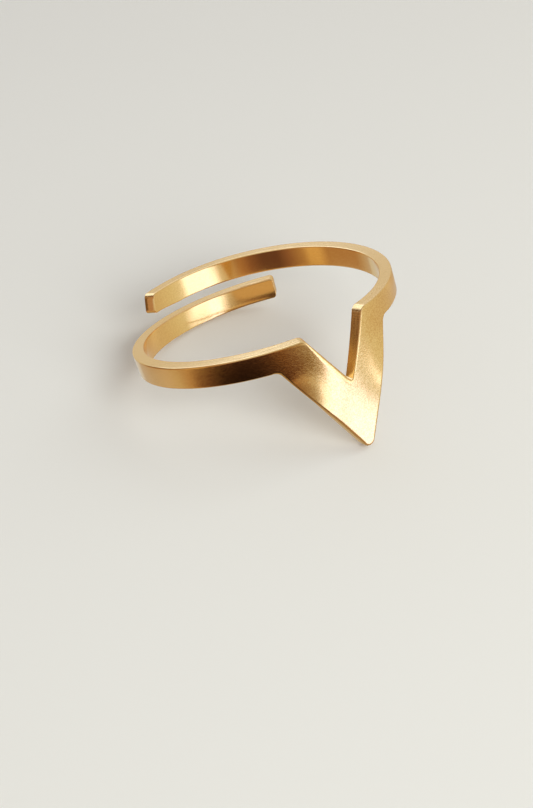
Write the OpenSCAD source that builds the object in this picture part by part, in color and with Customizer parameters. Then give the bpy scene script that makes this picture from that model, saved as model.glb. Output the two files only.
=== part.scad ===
// Open ring of flat sheet metal with a chevron in its middle.
// The band is one piece: its two arms pass each other side by side at the back,
// so that it can be opened or closed a little to fit a finger.
// It lies on its side on the surface z = 0, on the chevron's tip and on one arm,
// with the chevron towards -Y.

/* [Band] */
// Inside diameter of the round band
bore_d = 17; // [16:0.1:20]
// Thickness of the sheet
sheet_t = 0.85; // [0.7:0.05:1.1]
// Width of the band
band_w = 1.6; // [1.3:0.02:1.8]

/* [Chevron] */
// Width between the two top corners, at half the sheet's thickness
top_w = 4.46; // [4:0.02:5.2]
// Angle of the upper edges to the band, seen from the front
upper_angle = 62.5; // [58:0.1:66]
// Angle of the lower edges to the band, seen from the front
lower_angle = 62.4; // [58:0.1:66]
// Depth of the tip's corner below the band's middle, before it is rounded
tip_drop = 9; // [8:0.05:10]
// Radius that the chevron is rolled to, at half the sheet's thickness, a little tighter than the arms
front_r = 8.5; // [7.5:0.1:8.9]
// Angle from the chevron's middle round to where the arms' own radius starts
front_angle = 27; // [20:0.5:32]

/* [Rounded corners] */
// Radius of the tip
tip_r = 0.4; // [0.2:0.01:0.6]
// Radius at the bottom of the notch
notch_r = 0.15; // [0.1:0.01:0.3]
// Radius of the two top corners
shoulder_r = 0.45; // [0.2:0.01:0.6]
// Radius where the lower edges run into the band
root_r = 0.6; // [0.2:0.01:0.8]

/* [Arms] */
// Angle from the chevron's middle round to the left arm's end
left_end = 216.5; // [195:0.5:225]
// Angle from the chevron's middle round to the right arm's end
right_end = 210.5; // [195:0.5:225]
// Height of the left arm's middle at the side, from its height at the chevron
left_side_z = -0.56; // [-1.2:0.02:0.2]
// Height of the left arm's middle at the back
left_back_z = -2.7; // [-3:0.02:-2.4]
// Height of the right arm's middle at the side
right_side_z = -0.9; // [-1.2:0.02:0.2]
// Height of the right arm's middle at the back
right_back_z = -0.22; // [-0.5:0.02:0.2]
// Angle by which the left arm's end is off square, so that its lower corner is the longer one
left_cut = -2.5; // [-12:0.5:12]
// Angle by which the right arm's end is off square, the same way round
right_cut = 8; // [-12:0.5:12]

/* [Resting pose] */
// Turn about X that lays the ring on its tip and its back
rest_pitch = -15.46; // [-20:0.02:-10]
// Turn about Y that lays it on the lower arm
rest_roll = -8.1; // [-14:0.1:-4]
// Place of the band's centre along X
centre_x = -0.1; // [-1:0.01:1]
// Place of the band's centre along Y
centre_y = 1.09; // [0:0.01:2]
// Height of the band's centre above the surface
centre_z = 5.89; // [4:0.001:7]

/* [Hidden] */
$fn = 180;
GOLD = [0.83, 0.64, 0.33];
bore_r = bore_d / 2;
mid_r = bore_r + sheet_t / 2;
// Far past every edge of the ring
reach = 2 * bore_d;
// How far a rounded corner's ends run into the metal, so that no sliver is left
bite = 0.02;
// Centre of the arc that the chevron is rolled to
front_y = -(mid_r - front_r) / cos(front_angle);
// The band's middle line at the top corners, which the arms' heights start from
corner_x = top_w / 2;
corner_y = front_y - sqrt(front_r * front_r - corner_x * corner_x);
// The chevron's outlines are drawn on the plane y = corner_y and cut towards the ring's axis,
// square to the sheet, between these two distances from it
near_y = 0.8 * mid_r;
far_y = 1.1 * mid_r;

// An arm's middle lies in one tilted plane: c + gx * x + gy * y, for an arm on the +X side
function plane_c(side_z, back_z) =
    -(back_z * corner_y + side_z * corner_x) / (mid_r - corner_y - corner_x);
function plane_gx(side_z, back_z) = (side_z - plane_c(side_z, back_z)) / mid_r;
function plane_gy(side_z, back_z) = (back_z - plane_c(side_z, back_z)) / mid_r;
function plane_z(side_z, back_z, x, y) =
    plane_c(side_z, back_z) + plane_gx(side_z, back_z) * x + plane_gy(side_z, back_z) * y;

// Height of an arm's middle near the chevron, from the front
function front_z(side_z, back_z, x) = plane_z(side_z, back_z, x, -sqrt(mid_r * mid_r - x * x));

function unit(v) = v / norm(v);

// Points of the arc of radius r that rounds corner b between points a and c
function corner_arc(a, b, c, r, steps = 6) =
    let (
        u = unit(a - b),
        v = unit(c - b),
        half = acos(u * v) / 2,
        centre = b + unit(u + v) * r / sin(half),
        first = b + u * r / tan(half) - centre,
        last = b + v * r / tan(half) - centre,
        start = atan2(first.y, first.x),
        turn = atan2(first.x * last.y - first.y * last.x, first * last)
    )
    [for (i = [0:steps]) centre + r * [cos(start + turn * i / steps), sin(start + turn * i / steps)]];

// Corner where the chevron's lower edge meets the underside of an arm on the +X side
function root_x(side_z, back_z) =
    (tip_drop - band_w / 2 + front_z(side_z, back_z, corner_x * 1.7)) / tan(lower_angle);
function root_point(side_z, back_z, out = 0) =
    let (x = root_x(side_z, back_z) + out)
    [x, front_z(side_z, back_z, x) - band_w / 2 + bite];

function mirrored(p) = [-p.x, p.y];

// Inside or outside of the sheet from above: the arms' circle and, just outside it in front,
// the chevron's arc, joined by two short flats
module plan(offset_r) {
    round_r = mid_r + offset_r;
    chevron_r = front_r + offset_r;
    circle(round_r);
    translate([0, front_y]) circle(chevron_r);
    polygon([
        [round_r * sin(front_angle), -round_r * cos(front_angle)],
        [-round_r * sin(front_angle), -round_r * cos(front_angle)],
        [-chevron_r * sin(front_angle), front_y - chevron_r * cos(front_angle)],
        [chevron_r * sin(front_angle), front_y - chevron_r * cos(front_angle)]
    ]);
}

// The rolled sheet at its full height, before it is cut to shape
module rolled_sheet() {
    translate([0, 0, -bore_d])
        linear_extrude(reach)
            difference() {
                plan(sheet_t / 2);
                plan(-sheet_t / 2);
            }
}

// The chevron's lower outline from the front, with its tip and its run into both arms
module chevron_area() {
    tip = [0, -tip_drop];
    right_root = root_point(right_side_z, right_back_z);
    right_along = root_point(right_side_z, right_back_z, 1);
    left_root = mirrored(root_point(left_side_z, left_back_z));
    left_along = mirrored(root_point(left_side_z, left_back_z, 1));
    right_fillet = corner_arc(right_along, right_root, tip, root_r);
    left_fillet = corner_arc(tip, left_root, left_along, root_r);
    polygon(concat(
        [right_fillet[0] + [0, band_w / 2]],
        right_fillet,
        corner_arc(right_root, tip, left_root, tip_r),
        left_fillet,
        [left_fillet[len(left_fillet) - 1] + [0, band_w / 2]]
    ));
}

// The open triangle above the chevron, with its notch and its two rounded shoulders
module notch_area() {
    shoulder = [corner_x, band_w / 2 + bite];
    notch = [0, shoulder.y - shoulder.x * tan(upper_angle)];
    right_along = shoulder + [1, 0];
    polygon(concat(
        [shoulder + [shoulder_r, band_w]],
        corner_arc(right_along, shoulder, notch, shoulder_r),
        corner_arc(shoulder, notch, mirrored(shoulder), notch_r),
        corner_arc(notch, mirrored(shoulder), mirrored(right_along), shoulder_r),
        [mirrored(shoulder) + [-shoulder_r, band_w]]
    ));
}

// Carries an outline drawn from the front through the sheet, narrowing towards the ring's axis
module from_front() {
    translate([0, -near_y, 0])
        rotate([90, 0, 0])
            linear_extrude(far_y - near_y, scale = [far_y / near_y, 1], slices = 1, $fn = 12)
                scale([-near_y / corner_y, 1])
                    children();
}

// Everything past a cut across the band at an angle round from the chevron
module past_cut(angle, height, off_square) {
    translate([0, 0, height])
        rotate([0, 0, angle])
            rotate([0, off_square, 0])
                translate([0, -reach, -reach])
                    cube(2 * reach);
}

// One arm, on the +X side and on round the back to its end
module arm(end_angle, side_z, back_z, cut) {
    gx = plane_gx(side_z, back_z);
    gy = plane_gy(side_z, back_z);
    tilt = atan(norm([gx, gy]));
    end_x = mid_r * sin(end_angle);
    end_y = -mid_r * cos(end_angle);
    end_slope = atan(gx * cos(end_angle) + gy * sin(end_angle));
    difference() {
        intersection() {
            rolled_sheet();
            translate([0, 0, plane_c(side_z, back_z)])
                rotate([0, 0, atan2(gy, gx)])
                    rotate([0, -tilt, 0])
                        cube([reach, reach, band_w * cos(tilt)], center = true);
        }
        intersection() {
            translate([-reach, -reach / 2, -reach / 2])
                cube(reach);
            past_cut(end_angle, plane_z(side_z, back_z, end_x, end_y), -end_slope - cut);
        }
    }
}

module ring_upright() {
    difference() {
        union() {
            arm(right_end, right_side_z, right_back_z, right_cut);
            mirror([1, 0, 0])
                arm(left_end, left_side_z, left_back_z, left_cut);
            intersection() {
                rolled_sheet();
                from_front()
                    chevron_area();
            }
        }
        from_front()
            notch_area();
    }
}

module chevron_band() {
    color(GOLD)
        translate([centre_x, centre_y, centre_z])
            rotate([0, rest_roll, 0])
                rotate([rest_pitch, 0, 0])
                    ring_upright();
}

chevron_band();
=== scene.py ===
"""An open ring of gold sheet metal with a chevron, lying on a pale floor."""
import math

import bpy
import numpy as np
from mathutils import Euler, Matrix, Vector

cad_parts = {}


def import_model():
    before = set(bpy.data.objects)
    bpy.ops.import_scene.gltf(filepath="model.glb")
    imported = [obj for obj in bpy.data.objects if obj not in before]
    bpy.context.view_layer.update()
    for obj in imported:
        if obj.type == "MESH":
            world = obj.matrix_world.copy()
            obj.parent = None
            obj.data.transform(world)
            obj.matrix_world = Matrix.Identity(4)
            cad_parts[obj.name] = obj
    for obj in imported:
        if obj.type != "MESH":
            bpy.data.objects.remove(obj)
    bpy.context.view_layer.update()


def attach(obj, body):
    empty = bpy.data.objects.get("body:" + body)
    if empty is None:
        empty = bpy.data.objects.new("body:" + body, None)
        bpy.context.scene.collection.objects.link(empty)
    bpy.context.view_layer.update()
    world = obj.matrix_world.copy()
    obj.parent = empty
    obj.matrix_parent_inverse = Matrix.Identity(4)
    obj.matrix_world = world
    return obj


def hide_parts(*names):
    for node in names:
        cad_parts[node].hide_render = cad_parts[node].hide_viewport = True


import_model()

MM = 0.001

# The ring's sizes in millimetres. Lengths along the sheet are measured at half its thickness, from
# the chevron's middle, and heights from the middle of the band there.
BORE_D = 17.0
SHEET_T = 0.85
BAND_W = 1.6
NOTCH_HALF_W = 2.26
NOTCH_AT = -3.46
CHEVRON_HALF_W = 4.28
TIP_AT = -9.0
TIP_R = 0.46
NOTCH_R = 0.12
SHOULDER_R = 0.55
ROOT_R = 0.6
MID_R = (BORE_D + SHEET_T) / 2

# Between these lengths along the sheet, on both sides, the chevron's lower edge runs into an arm
ROOT_WITHIN = (3, 5)

# Each arm: its end, from the chevron's middle round, its middle's height at the side and at the
# back, and how far its end is off square
ARMS = {
    "left": {"end": math.radians(216.5), "side_z": -0.56, "back_z": -2.7, "cut": math.radians(-2.5)},
    "right": {"end": math.radians(211), "side_z": -0.9, "back_z": -0.22, "cut": math.radians(18)},
}

# The cut off square starts this far from an arm's end
SKEW_LONG = 2

# The right arm narrows to its end from below: over which length, and by how much
TAPER_LONG = 2.8
TAPER_DEEP = 0.26

# Towards its tip the chevron is flatter than the band's circle: how much, and between which heights
# the sheet goes over to it
FLAT_SHARE = 0.8
FLAT_FROM = -1.4
FLAT_FULL = -6.0

# How the ring lies
REST_TURN = (math.radians(-15.46), math.radians(-8.1), 0.0)
REST_CENTRE = (-0.1, 1.09, 5.89)

# Rounding of the sheet's edges and of the corners of its ends
EDGE_R = 0.07
END_CORNER_R = 0.3

# Round the chevron the outer edge is rolled over further, as punching leaves it. The roll runs along
# both lower edges and down the notch's left side. Each has a width up the sheet and a depth through
# it, and it fades out between two lengths from the chevron's middle, the notch's one at its bottom too.
ROLL_WIDE = 0.16
ROLL_DEEP = 0.13
ROLL_FADES = (CHEVRON_HALF_W - 0.1, CHEVRON_HALF_W + 0.5)
NOTCH_ROLL_WIDE = 0.28
NOTCH_ROLL_DEEP = 0.11
NOTCH_ROLL_FADES = (NOTCH_HALF_W - 0.8, NOTCH_HALF_W - 0.1)
NOTCH_ROLL_LEFT_OF = (-0.3, -0.05)

# How finely the sheet is divided: along the arms and along the chevron, in the search for a corner,
# round each corner and each edge, and where a section's points lie, as shares of a face's height and
# of a wall's depth
ARM_STEP = 0.3
CHEVRON_STEP = 0.08
CHEVRON_STEPS_TO = CHEVRON_HALF_W + 1.2
CLOSEST_STEP = 0.008
CORNER_SAMPLES = 4001
ARC_STEPS = 12
EDGE_STEPS = 5
FACE_ROWS = (0.0, 0.03, 0.12, 0.3, 0.5, 0.7, 0.88, 0.97, 1.0)
WALL_ROWS = (0.0, 0.08, 0.35, 0.65, 0.92, 1.0)

# The camera: where it stands, how it is turned, and its lens for an image 808 pixels tall
CAMERA_AT = (-43.90, -59.30, 55.47)
CAMERA_TURN = (math.radians(51.971), math.radians(0.661), math.radians(-36.780))
FOCAL_PIXELS = 1300
IMAGE_TALL = 808
SENSOR_MM = 36


def arm_height(along):
    """Height of the band's middle: each arm lies in one tilted plane that starts at the shoulder."""
    along = np.asarray(along, float)
    height = np.zeros_like(along)
    start = NOTCH_HALF_W / MID_R
    start_x, start_y = math.sin(start), -math.cos(start)
    for side, arm in ((-1, ARMS["left"]), (1, ARMS["right"])):
        level = -(arm["back_z"] * start_y + arm["side_z"] * start_x) / (1 - start_y - start_x)
        turn = np.abs(along) / MID_R
        on_arm = along * side > NOTCH_HALF_W
        plane = level + (arm["side_z"] - level) * np.sin(turn) - (arm["back_z"] - level) * np.cos(turn)
        height[on_arm] = plane[on_arm]
    return height


def top_line(along):
    """Upper outline of the sheet, with sharp corners."""
    slope = (BAND_W / 2 - NOTCH_AT) / NOTCH_HALF_W
    notch = np.where(np.abs(along) < MID_R, NOTCH_AT + np.abs(along) * slope, MID_R)
    return np.minimum(arm_height(along) + BAND_W / 2, notch)


def bottom_line(along):
    """Lower outline of the sheet, with sharp corners."""
    slope = (-BAND_W / 2 - TIP_AT) / CHEVRON_HALF_W
    tip = np.where(np.abs(along) < MID_R, TIP_AT + np.abs(along) * slope, MID_R)
    return np.minimum(arm_height(along) - BAND_W / 2, tip)


def corner_near(line, low, high):
    """Where an outline bends most between two places: its corner there."""
    along = np.linspace(low, high, CORNER_SAMPLES)
    height = line(along)
    bend = np.abs(height[2:] - 2 * height[1:-1] + height[:-2])
    return float(along[1:-1][np.argmax(bend)])


def corner_arc(line, place, radius):
    """The arc that rounds an outline's corner: its two ends, its centre, and which way it bends."""
    gap = 0.02
    here = float(line(place))
    before = math.atan2(here - float(line(place - gap)), gap)
    after = math.atan2(float(line(place + gap)) - here, gap)
    bend = 1 if after > before else -1
    reach = radius * math.tan(abs(after - before) / 2)
    start = place - reach * math.cos(before)
    end = place + reach * math.cos(after)
    centre = (start - bend * radius * math.sin(before),
              here - reach * math.sin(before) + bend * radius * math.cos(before))
    return {"start": start, "end": end, "centre": centre, "radius": radius, "bend": bend}


def rounded(line, arcs, along):
    """Height of an outline at each place along it, with its corners rounded."""
    height = line(along)
    for arc in arcs:
        inside = (along > arc["start"]) & (along < arc["end"])
        across = along[inside] - arc["centre"][0]
        height[inside] = arc["centre"][1] - arc["bend"] * np.sqrt(arc["radius"] ** 2 - across ** 2)
    return height


def arm_end(side):
    """Length from the chevron's middle to an arm's end, with its sign."""
    sign = -1 if side == "left" else 1
    return sign * MID_R * ARMS[side]["end"]


def end_columns(end, sign):
    """Places of the last few sections, which round the arm's end corners and its end edges."""
    turn = np.linspace(0, math.pi / 2, ARC_STEPS + 1)
    return end - sign * END_CORNER_R * (1 - np.sin(turn))


def sheet_columns(arcs):
    """Places along the sheet where it has a section, closer together round its corners."""
    left, right = arm_end("left"), arm_end("right")
    parts = [
        np.arange(left + END_CORNER_R * 1.5, -CHEVRON_STEPS_TO, ARM_STEP),
        np.arange(-CHEVRON_STEPS_TO, CHEVRON_STEPS_TO, CHEVRON_STEP),
        np.arange(CHEVRON_STEPS_TO, right - END_CORNER_R * 1.5, ARM_STEP),
        end_columns(left, -1),
        end_columns(right, 1),
    ]
    for arc in arcs:
        parts.append(np.linspace(arc["start"], arc["end"], ARC_STEPS + 1))
    columns = np.unique(np.round(np.concatenate(parts), 4))
    apart = np.diff(columns, prepend=columns[0] - 1) > CLOSEST_STEP
    return columns[apart]


def blank_outline():
    """The blank's outline: places along it, its lower and upper heights, and how steep both run."""
    top_arcs = [corner_arc(top_line, place, radius) for place, radius in
                ((-NOTCH_HALF_W, SHOULDER_R), (0.0, NOTCH_R), (NOTCH_HALF_W, SHOULDER_R))]
    near, far = ROOT_WITHIN
    left_root = corner_near(bottom_line, -far, -near)
    right_root = corner_near(bottom_line, near, far)
    bottom_arcs = [corner_arc(bottom_line, place, radius) for place, radius in
                   ((left_root, ROOT_R), (0.0, TIP_R), (right_root, ROOT_R))]
    along = sheet_columns(top_arcs + bottom_arcs)
    high = rounded(top_line, top_arcs, along)
    low = rounded(bottom_line, bottom_arcs, along)
    high_stretch = np.sqrt(1 + np.gradient(high, along) ** 2)
    low_stretch = np.sqrt(1 + np.gradient(low, along) ** 2)
    return along, low, high, low_stretch, high_stretch


def falls_back(to_end, radius):
    """How far a rounded corner stays behind its line, at each distance to the end."""
    inside = np.clip(radius - to_end, 0, radius)
    return radius - np.sqrt(np.maximum(radius ** 2 - inside ** 2, 0))


def finished_ends(along, low, high):
    """Tapers and rounds both ends: new heights, how much thinner, and how far off square."""
    left, right = arm_end("left"), arm_end("right")
    narrowed = np.clip(1 - (right - along) / TAPER_LONG, 0, 1)
    low = low + TAPER_DEEP * narrowed ** 2 * (3 - 2 * narrowed)
    to_end = np.minimum(along - left, right - along)
    corner = falls_back(to_end, END_CORNER_R)
    thinner = falls_back(to_end, EDGE_R)
    cut = np.where(along < 0, -math.tan(ARMS["left"]["cut"]), math.tan(ARMS["right"]["cut"]))
    skew = -(cut + np.gradient(arm_height(along), along)) * np.clip(1 - to_end / SKEW_LONG, 0, 1)
    return low + corner, high - corner, thinner, skew


def edge_rolls(along):
    """Width and depth of the outer edge's rounding at each place, below and above."""
    low_part = np.interp(np.abs(along), ROLL_FADES, (1, 0))
    left_part = np.interp(along, NOTCH_ROLL_LEFT_OF, (1, 0))
    high_part = np.interp(np.abs(along), NOTCH_ROLL_FADES, (1, 0)) * left_part
    rolls = []
    for part, wide, deep in ((low_part, ROLL_WIDE, ROLL_DEEP),
                             (high_part, NOTCH_ROLL_WIDE, NOTCH_ROLL_DEEP)):
        rolls.append(list(zip(EDGE_R + (wide - EDGE_R) * part, EDGE_R + (deep - EDGE_R) * part)))
    return rolls


def section(low, high, low_stretch, high_stretch, thick, low_roll, high_roll):
    """One closed section of the sheet: depth and height of its points, and what each lies on."""
    depth, height, face, wall = [], [], [], []

    def put(points, on_face, on_wall):
        for d, h in points:
            depth.append(d)
            height.append(h)
            face.append(on_face)
            wall.append(on_wall)

    half = thick / 2
    to_wall = [math.pi / 2 * i / EDGE_STEPS for i in range(1, EDGE_STEPS)]
    to_face = to_wall[::-1]

    def rounding(side, up, line, stretch, wide, deep, angles):
        """Points round one edge, from the face to the wall for rising angles."""
        for a in angles:
            yield (side * (half - deep + deep * math.cos(a)),
                   line - up * wide * stretch * (1 - math.sin(a)))

    outer_low, outer_high = low + low_roll[0] * low_stretch, high - high_roll[0] * high_stretch
    inner_low, inner_high = low + EDGE_R * low_stretch, high - EDGE_R * high_stretch
    high_deep = 2 * half - high_roll[1] - EDGE_R
    low_deep = 2 * half - low_roll[1] - EDGE_R
    put([(half, outer_low + (outer_high - outer_low) * f) for f in FACE_ROWS], 1, 0)
    put(rounding(1, 1, high, high_stretch, *high_roll, to_wall), 0.5, 0)
    put([(half - high_roll[1] - high_deep * f, high) for f in WALL_ROWS], 0, 1)
    put(rounding(-1, 1, high, high_stretch, EDGE_R, EDGE_R, to_face), 0.5, 0)
    put([(-half, inner_high + (inner_low - inner_high) * f) for f in FACE_ROWS], 1, 0)
    put(rounding(-1, -1, low, low_stretch, EDGE_R, EDGE_R, to_wall), 0.5, 0)
    put([(EDGE_R - half + low_deep * f, low) for f in WALL_ROWS], 0, -1)
    put(rounding(1, -1, low, low_stretch, *low_roll, to_face), 0.5, 0)
    return np.array(depth), np.array(height), face, wall


def tube_faces(sections, points):
    """Faces of a closed tube through equal sections, with a cap at each end."""
    faces = []
    for i in range(sections - 1):
        for j in range(points):
            k = (j + 1) % points
            faces.append((i * points + j, (i + 1) * points + j, (i + 1) * points + k, i * points + k))
    last = (sections - 1) * points
    faces.append(tuple(range(points)))
    faces.append(tuple(reversed(range(last, last + points))))
    return faces


def flat_blank():
    """The sheet before it is rolled: X along it, Y through it and Z up it, in millimetres."""
    along, low, high, low_stretch, high_stretch = blank_outline()
    low, high, thinner, skew = finished_ends(along, low, high)
    low_rolls, high_rolls = edge_rolls(along)
    middle = arm_height(along)
    outline = np.concatenate([[0], np.cumsum(np.hypot(np.diff(along), np.diff(low)))])
    verts, faces, walls, unrolled = [], [], [], []
    for i, at in enumerate(along):
        depth, height, face, wall = section(
            low[i], high[i], low_stretch[i], high_stretch[i], SHEET_T - 2 * thinner[i],
            low_rolls[i], high_rolls[i])
        verts += list(zip(at + skew[i] * (height - middle[i]), depth, height))
        faces += face
        walls += wall
        around = np.concatenate([[0], np.cumsum(np.hypot(np.diff(depth), np.diff(height)))])
        unrolled += [(outline[i], a) for a in around]

    mesh = bpy.data.meshes.new("blank")
    mesh.from_pydata(verts, [], tube_faces(len(along), len(depth)))
    for name, values in (("face", faces), ("wall", walls)):
        mesh.attributes.new(name, "FLOAT", "POINT").data.foreach_set("value", values)
    mesh.attributes.new("blank_place", "FLOAT_VECTOR", "POINT").data.foreach_set("vector", np.ravel(verts))
    uv = mesh.uv_layers.new(name="sheet")
    places = np.array(unrolled)[[loop.vertex_index for loop in mesh.loops]]
    uv.data.foreach_set("uv", places.ravel())
    mesh.validate()
    return mesh


class Nodes:
    """Adds nodes to a tree; its values are V objects, on which Python's operators add Math nodes."""

    def __init__(self, tree):
        self.tree = tree

    def add(self, kind, settings=None, **inputs):
        """A node of one type, with its settings and then its sockets' values or links."""
        node = self.tree.nodes.new(kind)
        for name, value in (settings or {}).items():
            if name == "stops":
                self.set_stops(node.color_ramp.elements, value)
            else:
                setattr(node, name, value)
        for name, value in inputs.items():
            self.put(self.socket(node, name), value)
        return node

    @staticmethod
    def set_stops(stops, tones):
        """Gives a colour ramp its stops, from places between 0 and 1 and their tones."""
        while len(stops) > 1:
            stops.remove(stops[-1])
        for i, (place, tone) in enumerate(tones):
            stop = stops[0] if i == 0 else stops.new(place)
            stop.position = place
            stop.color = (*tone, 1)

    @staticmethod
    def socket(node, name):
        """An input by its name, with _ for a space, or by its number after the letter i."""
        if name[:1] == "i" and name[1:].isdigit():
            return node.inputs[int(name[1:])]
        return node.inputs[name.replace("_", " ")]

    def put(self, socket, value):
        """Links a socket to a value, or sets it to a number, vector or tone."""
        if isinstance(value, V):
            value = value.socket
        if isinstance(value, bpy.types.NodeSocket):
            self.tree.links.new(value, socket)
        elif socket.type == "RGBA":
            socket.default_value = (*value, 1)
        else:
            socket.default_value = value

    def out(self, node, name=0):
        """A node's output as a value."""
        return V(self, node.outputs[name])

    def between(self, value, low, high):
        """Rises softly from 0 to 1 while a value goes from low to high."""
        step = self.add("ShaderNodeMapRange", {"interpolation_type": "SMOOTHSTEP"}, Value=value,
                        From_Min=low, From_Max=high)
        return self.out(step)

    def mixed(self, share, first, second):
        """A tone between two others."""
        return self.add("ShaderNodeMix", {"data_type": "RGBA"}, i0=share, i6=first, i7=second).outputs[2]


class V:
    """One value of a node tree."""

    def __init__(self, nodes, socket):
        self.nodes = nodes
        self.socket = socket

    def math(self, operation, *others):
        values = (self,) + others
        node = self.nodes.add("ShaderNodeMath", {"operation": operation},
                              **{f"i{n}": value for n, value in enumerate(values)})
        return V(self.nodes, node.outputs[0])

    def reflected(self, operation, other):
        node = self.nodes.add("ShaderNodeMath", {"operation": operation}, i0=other, i1=self)
        return V(self.nodes, node.outputs[0])

    def __add__(self, other):
        return self.math("ADD", other)

    def __radd__(self, other):
        return self.reflected("ADD", other)

    def __sub__(self, other):
        return self.math("SUBTRACT", other)

    def __rsub__(self, other):
        return self.reflected("SUBTRACT", other)

    def __mul__(self, other):
        return self.math("MULTIPLY", other)

    def __rmul__(self, other):
        return self.reflected("MULTIPLY", other)

    def __truediv__(self, other):
        return self.math("DIVIDE", other)

    def __rtruediv__(self, other):
        return self.reflected("DIVIDE", other)


def roll_tree():
    """Geometry Nodes: rolls the flat blank round its circle, then lays the ring down."""
    tree = bpy.data.node_groups.new("roll_the_blank", "GeometryNodeTree")
    tree.interface.new_socket("Blank", in_out="INPUT", socket_type="NodeSocketGeometry")
    for name, kind in (("Radius", "NodeSocketFloat"), ("Flat Share", "NodeSocketFloat"),
                       ("Flat From", "NodeSocketFloat"), ("Flat Full", "NodeSocketFloat"),
                       ("Chevron Width", "NodeSocketFloat"), ("Rest Turn", "NodeSocketRotation"),
                       ("Rest Centre", "NodeSocketVector"), ("Unit", "NodeSocketFloat"),
                       ("Metal", "NodeSocketMaterial")):
        tree.interface.new_socket(name, in_out="INPUT", socket_type=kind)
    tree.interface.new_socket("Ring", in_out="OUTPUT", socket_type="NodeSocketGeometry")
    nodes = Nodes(tree)
    given = nodes.add("NodeGroupInput").outputs
    place = nodes.add("ShaderNodeSeparateXYZ", Vector=nodes.add("GeometryNodeInputPosition").outputs[0])
    along, through, height = (nodes.out(place, axis) for axis in ("X", "Y", "Z"))
    radius = through + given["Radius"]
    turn = along / given["Radius"]
    lower = nodes.between(height, given["Flat From"], given["Flat Full"])
    on_chevron = along.math("ABSOLUTE").math("LESS_THAN", given["Chevron Width"])
    flat = lower * given["Flat Share"] * on_chevron
    round_x = turn.math("SINE") * radius
    round_y = 0 - turn.math("COSINE") * radius
    x = round_x + (along - round_x) * flat
    y = round_y + (0 - radius - round_y) * flat
    rolled = nodes.add("ShaderNodeCombineXYZ", X=x, Y=y, Z=height)
    bent = nodes.add("GeometryNodeSetPosition", Geometry=given["Blank"], Position=rolled.outputs[0])
    laid = nodes.add("GeometryNodeTransform", Geometry=bent.outputs[0], Translation=given["Rest Centre"],
                     Rotation=given["Rest Turn"])
    size = nodes.add("ShaderNodeCombineXYZ", X=given["Unit"], Y=given["Unit"], Z=given["Unit"])
    sized = nodes.add("GeometryNodeTransform", Geometry=laid.outputs[0], Scale=size.outputs[0])
    real = nodes.add("GeometryNodeRealizeInstances", Geometry=sized.outputs[0])
    clad = nodes.add("GeometryNodeSetMaterial", Geometry=real.outputs[0], Material=given["Metal"])
    nodes.add("NodeGroupOutput", Ring=clad.outputs[0])
    return tree


def set_input(modifier, name, value):
    """Sets a Geometry Nodes modifier's input by its socket's identifier."""
    for item in modifier.node_group.interface.items_tree:
        if item.item_type == "SOCKET" and item.in_out == "INPUT" and item.name == name:
            modifier[item.identifier] = value


def make_ring(metal):
    """The ring, as a plain mesh in metres, in its place."""
    blank = bpy.data.objects.new("blank", flat_blank())
    bpy.context.scene.collection.objects.link(blank)
    modifier = blank.modifiers.new("roll", "NODES")
    modifier.node_group = roll_tree()
    for name, value in (("Radius", MID_R), ("Flat Share", FLAT_SHARE), ("Flat From", FLAT_FROM),
                        ("Flat Full", FLAT_FULL), ("Chevron Width", CHEVRON_HALF_W),
                        ("Rest Turn", REST_TURN), ("Rest Centre", REST_CENTRE), ("Unit", MM),
                        ("Metal", metal)):
        set_input(modifier, name, value)
    bpy.context.view_layer.update()
    solid = blank.evaluated_get(bpy.context.evaluated_depsgraph_get())
    mesh = bpy.data.meshes.new_from_object(solid)
    mesh.name = "gold_ring"
    ring = bpy.data.objects.new("gold_ring", mesh)
    bpy.context.scene.collection.objects.link(ring)
    bpy.data.objects.remove(blank)
    for polygon in mesh.polygons:
        polygon.use_smooth = True
    weighted = ring.modifiers.new("even_normals", "WEIGHTED_NORMAL")
    weighted.keep_sharp = True
    weighted.weight = 100
    return ring


def new_material(name):
    """An empty material and its nodes."""
    material = bpy.data.materials.new(name)
    material.use_nodes = True
    material.node_tree.nodes.clear()
    return material, Nodes(material.node_tree)


# The gold's tone lies between these two
DEEP_GOLD = (0.87, 0.56, 0.21)
LIGHT_GOLD = (1.0, 0.73, 0.33)

# Roughness of the satin faces, how far the fine grain varies it, and how much rougher the cut walls
# and how much smoother the arms are
SATIN_ROUGHNESS = 0.13
ROUGHNESS_VARIES = 0.06
CUT_ROUGHER = 0.12
ARM_SMOOTHER = 0.03

# On the arms the grain is fainter by this share, which it reaches between two lengths from the
# chevron's middle
FAINTER_ON_ARMS = 0.6
ARM_FINISH = (4.0, 7.0)

# Noise over the sheet: its scale, in spots per millimetre, and its detail. The streaks are drawn out
# along the walls.
MOTTLE = (6.0, 2.0)
FINE = (11.0, 1.0)
SPECKLE = (11.0, 2.0)
STREAKS = (5.0, 1.0)
STREAK_STRETCH = (0.2, 1.0, 0.2)

# Depth of the relief in millimetres: of the mottle, the fine grain, the streaks along the cut walls
# and the ripples across the top of the notch's right wall
MOTTLE_DEPTH = 0.0008
FINE_DEPTH = 0.00128
STREAK_DEPTH = 0.01
RIPPLE_DEPTH = 0.002

# The notch's right wall lies between these lengths along the sheet. Its ripples come in between two
# heights, and this is how close they are, in radians per millimetre.
NOTCH_WALL = (0.1, 2.1)
RIPPLES_ABOVE = (-0.4, 0.3)
RIPPLE_TURN = 42

# How strongly the speckle and the streaks change the gold's tone
SPECKLE_SHADE = 3.0
STREAK_SHADE = 2.5


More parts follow.
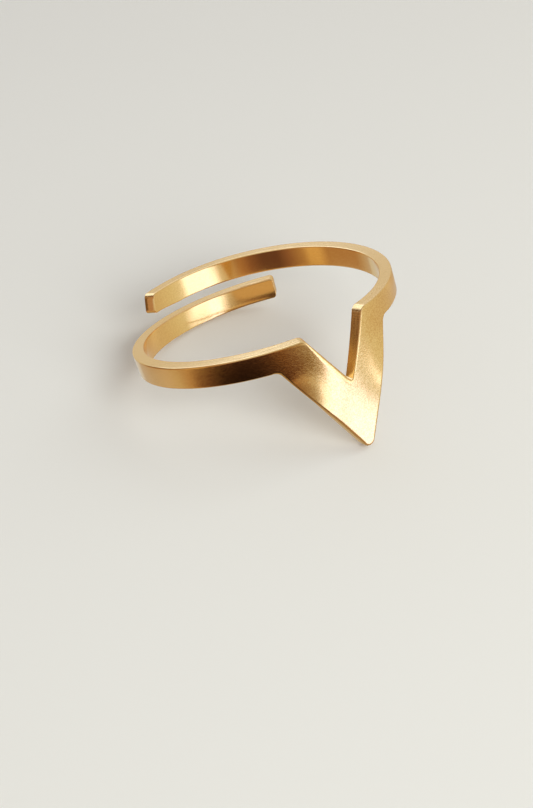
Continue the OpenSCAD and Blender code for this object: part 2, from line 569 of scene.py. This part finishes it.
def gold_metal():
    """Satin gold plating: a fine mottled grain, fainter on the arms, and streaks along the cut walls."""
    material, nodes = new_material("gold_metal")
    blank = nodes.add("ShaderNodeAttribute", {"attribute_name": "blank_place"}).outputs["Vector"]
    spot = nodes.add("ShaderNodeSeparateXYZ", Vector=blank)
    along, height = (nodes.out(spot, axis) for axis in ("X", "Z"))
    face = nodes.out(nodes.add("ShaderNodeAttribute", {"attribute_name": "face"}), "Fac")
    wall = nodes.out(nodes.add("ShaderNodeAttribute", {"attribute_name": "wall"}), "Fac")

    def grain(scale, detail, stretch=(1, 1, 1)):
        """Noise over the blank, to either side of 0."""
        stretched = nodes.add("ShaderNodeVectorMath", {"operation": "MULTIPLY"}, i0=blank, i1=stretch)
        noise = nodes.add("ShaderNodeTexNoise", Vector=stretched.outputs[0], Scale=scale, Detail=detail)
        return nodes.out(noise, "Fac") - 0.5

    mottle = grain(*MOTTLE)
    fine = grain(*FINE)
    speckle = grain(*SPECKLE)
    streaks = grain(*STREAKS, STREAK_STRETCH)
    on_arms = nodes.between(along.math("ABSOLUTE"), *ARM_FINISH)
    full = 1 - on_arms * FAINTER_ON_ARMS
    in_notch = wall * along.math("GREATER_THAN", NOTCH_WALL[0]) * along.math("LESS_THAN", NOTCH_WALL[1])
    ripples = (height * RIPPLE_TURN).math("SINE") * nodes.between(height, *RIPPLES_ABOVE) * in_notch

    relief = (mottle * MOTTLE_DEPTH + fine * FINE_DEPTH) * full
    relief = relief + streaks * wall * STREAK_DEPTH + ripples * RIPPLE_DEPTH
    bump = nodes.add("ShaderNodeBump", Strength=1.0, Distance=MM, Height=relief)
    roughness = SATIN_ROUGHNESS + fine * ROUGHNESS_VARIES
    roughness = roughness - on_arms * ARM_SMOOTHER + (1 - face) * CUT_ROUGHER
    shade = speckle * full * SPECKLE_SHADE + streaks * in_notch * STREAK_SHADE + 0.5
    base = nodes.mixed(shade, DEEP_GOLD, LIGHT_GOLD)
    shader = nodes.add("ShaderNodeBsdfPrincipled", Base_Color=base, Metallic=1.0,
                       Roughness=roughness, Normal=bump.outputs[0])
    nodes.add("ShaderNodeOutputMaterial", Surface=shader.outputs[0])
    return material


# Sizes of the stage in metres
FLOOR_HALF = 2.0
DRUM_R = 0.3
DRUM_HALF_TALL = 0.6
DRUM_SIDES = 96

# Floor and sky
FLOOR_TONE = (0.84, 0.825, 0.795)
FLOOR_ROUGHNESS = 0.9
SKY_TONE = (0.88, 0.83, 0.76)
SKY_STRENGTH = 0.5

# Painted reflections: the tones that the drum glows with, for the metal to mirror, in linear colour
WINDOW = (1.75, 1.85, 2.45)
COOL_WINDOW = (1.75, 1.9, 3.1)
WHITE = (0.78, 0.77, 0.70)
CREAM = (0.72, 0.69, 0.56)
SAND = (0.62, 0.53, 0.39)
BUFF = (0.60, 0.51, 0.42)
GREY = (0.54, 0.47, 0.40)
PALE = (0.63, 0.62, 0.58)
TAN = (0.44, 0.28, 0.15)
RUST = (0.42, 0.24, 0.115)
HONEY = (0.70, 0.48, 0.22)
DARK = (0.14, 0.064, 0.042)
NEAR_BLACK = (0.006, 0.003, 0.003)

# Painted reflections above and below the horizon, the same way
OVERHEAD = (0.69, 0.70, 0.80)
OVERHEAD_LOW = (0.66, 0.62, 0.53)
OVER_LEFT = (0.175, 0.10, 0.05)
OVER_SIDE = (0.46, 0.29, 0.20)
OVER_BACK = (1.3, 1.5, 2.05)
UNDERNEATH = (0.42, 0.29, 0.17)
UNDER_RIGHT = (0.57, 0.48, 0.33)

# Painted reflections round the horizon, in degrees from the front at 0, with the left side at -90 and the
# right
# one at 90: first as the outer walls mirror them, then as the inner walls do
OUTER_SIDES = [
    (-180, GREY), (-150, GREY), (-126, BUFF), (-112, (0.57, 0.47, 0.33)), (-98, TAN),
    (-88, (0.17, 0.08, 0.044)), (-78, (0.08, 0.034, 0.022)), (-66, NEAR_BLACK), (-42, NEAR_BLACK),
    (-27, (0.016, 0.007, 0.005)), (-16, (0.08, 0.03, 0.02)), (-7, (0.135, 0.052, 0.026)),
    (2, (0.22, 0.13, 0.04)), (8, (0.42, 0.32, 0.13)), (12, COOL_WINDOW), (20, COOL_WINDOW),
    (25, (0.84, 0.91, 1.12)), (30, (0.76, 0.79, 0.84)), (44, (0.64, 0.60, 0.50)),
    (52, (0.68, 0.63, 0.49)), (62, (0.62, 0.52, 0.37)), (84, SAND), (104, BUFF), (126, BUFF),
    (144, PALE), (164, PALE),
]
INNER_SIDES = [
    (-180, GREY), (-165, (0.50, 0.38, 0.26)), (-150, RUST), (-106, RUST), (-94, HONEY), (-84, HONEY),
    (-77, (0.47, 0.28, 0.13)), (-62, (0.27, 0.13, 0.075)), (-52, DARK), (-38, DARK),
    (-27, (0.25, 0.115, 0.062)), (-17, (0.45, 0.24, 0.11)), (-6, (0.66, 0.53, 0.35)),
    (2, (0.82, 0.80, 0.75)), (7, WINDOW), (36, WINDOW), (42, WHITE), (54, CREAM), (80, SAND),
    (92, (0.72, 0.61, 0.42)), (106, (0.60, 0.44, 0.25)), (128, (0.56, 0.42, 0.26)), (144, PALE),
    (164, PALE),
]

# The next values say where the drum's painted reflections run into each other, as pairs of a start and an
# end. FROM and TO are azimuths in degrees. LEAN is the cosine of the angle to the ring's axis: it rises
# upwards.
# Below the inner lean the outer walls' painted tones show, and above it the inner walls' ones, which start
# a little lower between two azimuths.
INNER_LEAN = (-0.416, -0.408)
INNER_SOONER = 0.003
INNER_SOONER_FROM = (10.8, 21.6)
INNER_SOONER_TO = (57.6, 79.2)

# The chevron's foot takes some of the outer walls' tones again
FOOT_LEAN = (-0.372, -0.362)
FOOT_FROM = (-21.6, -14.4)
FOOT_TO = (10.8, 18.0)
FOOT_SHARE = 0.6

# Low on the chevron, and on the lower arm, the tones lie some degrees further round
CHEVRON_LEAN = (-0.49, -0.455)
CHEVRON_FURTHER = 12
LOWER_ARM_LEAN = (-0.408, -0.392)
LOWER_ARM_FROM = (10.8, 32.4)
LOWER_ARM_FURTHER = 8

# Where the tones above and below the horizon take over
UNDERNEATH_LEAN = (-0.68, -0.56)
UNDERNEATH_TO = (36.0, 72.0)
UNDER_RIGHT_LEAN = (-0.53, -0.47)
UNDER_RIGHT_FROM = (100.8, 126.0)
OVERHEAD_LOW_LEAN = (-0.26, -0.05)
OVERHEAD_LEAN = (0.24, 0.42)
OVER_LEFT_LEAN = (-0.2, -0.05)
OVER_LEFT_FROM = (-162.0, -151.2)
OVER_LEFT_TO = (-82.8, -68.4)
OVER_SIDE_FROM = (-120.24, -114.48)
OVER_BACK_LEAN = (0.46, 0.53)
OVER_BACK_FROM = (136.8, 144.0)
OVER_BACK_TO = (-144.0, -133.2)

# Painted reflection of the shaded floor inside the ring: a glowing patch which the lower arm's end
# mirrors, in millimetres
SHADED_FLOOR = [(3.5, 4.1), (2.35, 3.3), (1.95, -6.5), (-0.6, -6.5), (-1.6, -1.5), (0.0, 3.3), (2.2, 4.5)]
SHADED_FLOOR_Z = 0.02
SHADED_TONE = (0.60, 0.42, 0.23)

# The lights: name, place and size in metres, and energy in watts
LIGHTS = (
    ("key", (-0.02, -0.34, 0.19), 0.24, 1.25),
    ("side_fill", (0.3, -0.1, 0.3), 0.3, 0.35),
)
LIGHT_TONE = (0.95, 1.0, 0.98)


def stage_piece(name, verts, faces, material, unseen_by):
    """A piece of the stage, as a mesh in metres, that some kinds of ray don't see."""
    mesh = bpy.data.meshes.new(name)
    mesh.from_pydata(verts, [], faces)
    mesh.materials.append(material)
    obj = bpy.data.objects.new(name, mesh)
    bpy.context.scene.collection.objects.link(obj)
    for kind in unseen_by:
        setattr(obj, "visible_" + kind, False)


def floor():
    """The pale floor, which the metal doesn't mirror."""
    material, nodes = new_material("floor")
    shader = nodes.add("ShaderNodeBsdfPrincipled", Base_Color=FLOOR_TONE, Roughness=FLOOR_ROUGHNESS)
    nodes.add("ShaderNodeOutputMaterial", Surface=shader.outputs[0])
    corners = [(x * FLOOR_HALF, y * FLOOR_HALF, 0) for x, y in ((-1, -1), (1, -1), (1, 1), (-1, 1))]
    stage_piece("floor", corners, [(0, 1, 2, 3)], material, ("glossy",))


def mirrored_only(name, verts, faces, make_tone):
    """A glowing piece of the stage, seen only in the metal, which paints a reflection into it. make_tone
    adds the nodes of its tone.
    """
    material, nodes = new_material(name)
    glow = nodes.add("ShaderNodeEmission", Color=make_tone(nodes), Strength=1.0)
    nodes.add("ShaderNodeOutputMaterial", Surface=glow.outputs[0])
    stage_piece(name, verts, faces, material, ("camera", "diffuse", "shadow", "transmission"))


def turned(azimuth):
    """An azimuth in degrees as a share of the turn that starts and ends at the back."""
    return (azimuth + 180) / 360


def side_tones(nodes, compass, sides):
    """The tone at each place round the horizon."""
    stops = [(turned(azimuth), tone) for azimuth, tone in sides]
    return nodes.add("ShaderNodeValToRGB", {"stops": stops}, Fac=compass).outputs[0]


def drum_tone(nodes):
    """The drum's painted reflections, from the compass and from the lean to the ring's axis."""
    spot = nodes.add("ShaderNodeTexCoord").outputs["Object"]
    place = nodes.add("ShaderNodeSeparateXYZ", Vector=spot)
    x, y = (nodes.out(place, axis) for axis in ("X", "Y"))
    compass = x.math("ARCTAN2", 0 - y) / math.tau + 0.5
    outward = nodes.add("ShaderNodeVectorMath", {"operation": "NORMALIZE"}, i0=spot).outputs[0]
    ring_axis = Euler(REST_TURN, "XYZ").to_matrix() @ Vector((0, 0, 1))
    dot = nodes.add("ShaderNodeVectorMath", {"operation": "DOT_PRODUCT"}, i0=outward, i1=ring_axis)
    lean = nodes.out(dot, "Value")

    def past(azimuths):
        """Rises from 0 to 1 from one azimuth to the other."""
        return nodes.between(compass, turned(azimuths[0]), turned(azimuths[1]))

    def above(leans):
        """Rises from 0 to 1 from one lean to the other."""
        return nodes.between(lean, *leans)

    chevron_low = 1 - above(CHEVRON_LEAN)
    lower_arm = (1 - above(LOWER_ARM_LEAN)) * past(LOWER_ARM_FROM)
    outer = side_tones(nodes, compass - chevron_low * (CHEVRON_FURTHER / 360), OUTER_SIDES)
    inner = side_tones(nodes, compass - lower_arm * (LOWER_ARM_FURTHER / 360), INNER_SIDES)
    sooner = past(INNER_SOONER_FROM) * (1 - past(INNER_SOONER_TO)) * INNER_SOONER
    foot = above(FOOT_LEAN) * past(FOOT_FROM) * (1 - past(FOOT_TO))
    inner_share = nodes.between(lean + sooner, *INNER_LEAN) * (1 - foot * FOOT_SHARE)
    tone = nodes.mixed(inner_share, outer, inner)

    tone = nodes.mixed(past(UNDER_RIGHT_FROM) * (1 - above(UNDER_RIGHT_LEAN)), tone, UNDER_RIGHT)
    tone = nodes.mixed(above(UNDERNEATH_LEAN) + past(UNDERNEATH_TO), UNDERNEATH, tone)
    overhead = nodes.mixed(above(OVERHEAD_LEAN), OVERHEAD_LOW, OVERHEAD)
    tone = nodes.mixed(above(OVERHEAD_LOW_LEAN), tone, overhead)
    over_left = nodes.mixed(past(OVER_SIDE_FROM), OVER_LEFT, OVER_SIDE)
    at_left = past(OVER_LEFT_FROM) * (1 - past(OVER_LEFT_TO)) * above(OVER_LEFT_LEAN)
    tone = nodes.mixed(at_left, tone, over_left)
    at_back = past(OVER_BACK_FROM) + (1 - past(OVER_BACK_TO))
    return nodes.mixed(at_back * above(OVER_BACK_LEAN), tone, OVER_BACK)


def painted_reflection_drum():
    """A tall drum round the ring that glows with painted reflections, which only the metal mirrors."""
    turns = [math.tau * i / DRUM_SIDES for i in range(DRUM_SIDES)]
    verts = [(DRUM_R * math.sin(turn), -DRUM_R * math.cos(turn), level)
             for turn in turns for level in (-DRUM_HALF_TALL, DRUM_HALF_TALL)]
    quads = []
    for i in range(DRUM_SIDES):
        here, after = 2 * i, 2 * ((i + 1) % DRUM_SIDES)
        quads.append((here, after, after + 1, here + 1))
    mirrored_only("painted_reflection_drum", verts, quads, drum_tone)


def painted_floor_shade():
    """A glowing patch with the painted reflection of the shaded floor inside the ring, as the lower arm's
    end mirrors it.
    """
    verts = [(x * MM, y * MM, SHADED_FLOOR_Z * MM) for x, y in SHADED_FLOOR]
    mirrored_only("painted_floor_shade", verts, [tuple(range(len(verts)))], lambda nodes: SHADED_TONE)


def world():
    """An even, pale sky."""
    sky = bpy.data.worlds.new("sky")
    bpy.context.scene.world = sky
    sky.use_nodes = True
    sky.node_tree.nodes.clear()
    nodes = Nodes(sky.node_tree)
    glow = nodes.add("ShaderNodeBackground", Color=SKY_TONE, Strength=SKY_STRENGTH)
    nodes.add("ShaderNodeOutputWorld", Surface=glow.outputs[0])


def camera():
    """The camera that sees the ring as in the photograph."""
    data = bpy.data.cameras.new("camera")
    data.lens = FOCAL_PIXELS / IMAGE_TALL * SENSOR_MM
    data.sensor_width = SENSOR_MM
    data.clip_start = 5 * MM
    obj = bpy.data.objects.new("camera", data)
    obj.location = Vector(CAMERA_AT) * MM
    obj.rotation_euler = Euler(CAMERA_TURN, "XYZ")
    bpy.context.scene.collection.objects.link(obj)
    bpy.context.scene.camera = obj


def soft_light(name, place, size, energy):
    """A square studio light that points at the ring, and that the metal doesn't mirror."""
    data = bpy.data.lights.new(name, "AREA")
    data.shape = "SQUARE"
    data.size = size
    data.energy = energy
    data.color = LIGHT_TONE
    obj = bpy.data.objects.new(name, data)
    obj.location = place
    obj.rotation_euler = (-Vector(place)).to_track_quat("-Z", "Y").to_euler()
    obj.visible_glossy = False
    bpy.context.scene.collection.objects.link(obj)


camera()
ring = make_ring(gold_metal())
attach(ring, "root")
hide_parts("chevron_band")
floor()
world()
# A glowing drum of painted reflections, seen only in the metal
painted_reflection_drum()
# A glowing patch of painted shade, seen only in the metal
painted_floor_shade()
for light in LIGHTS:
    soft_light(*light)
bpy.context.scene.view_settings.view_transform = "Standard"
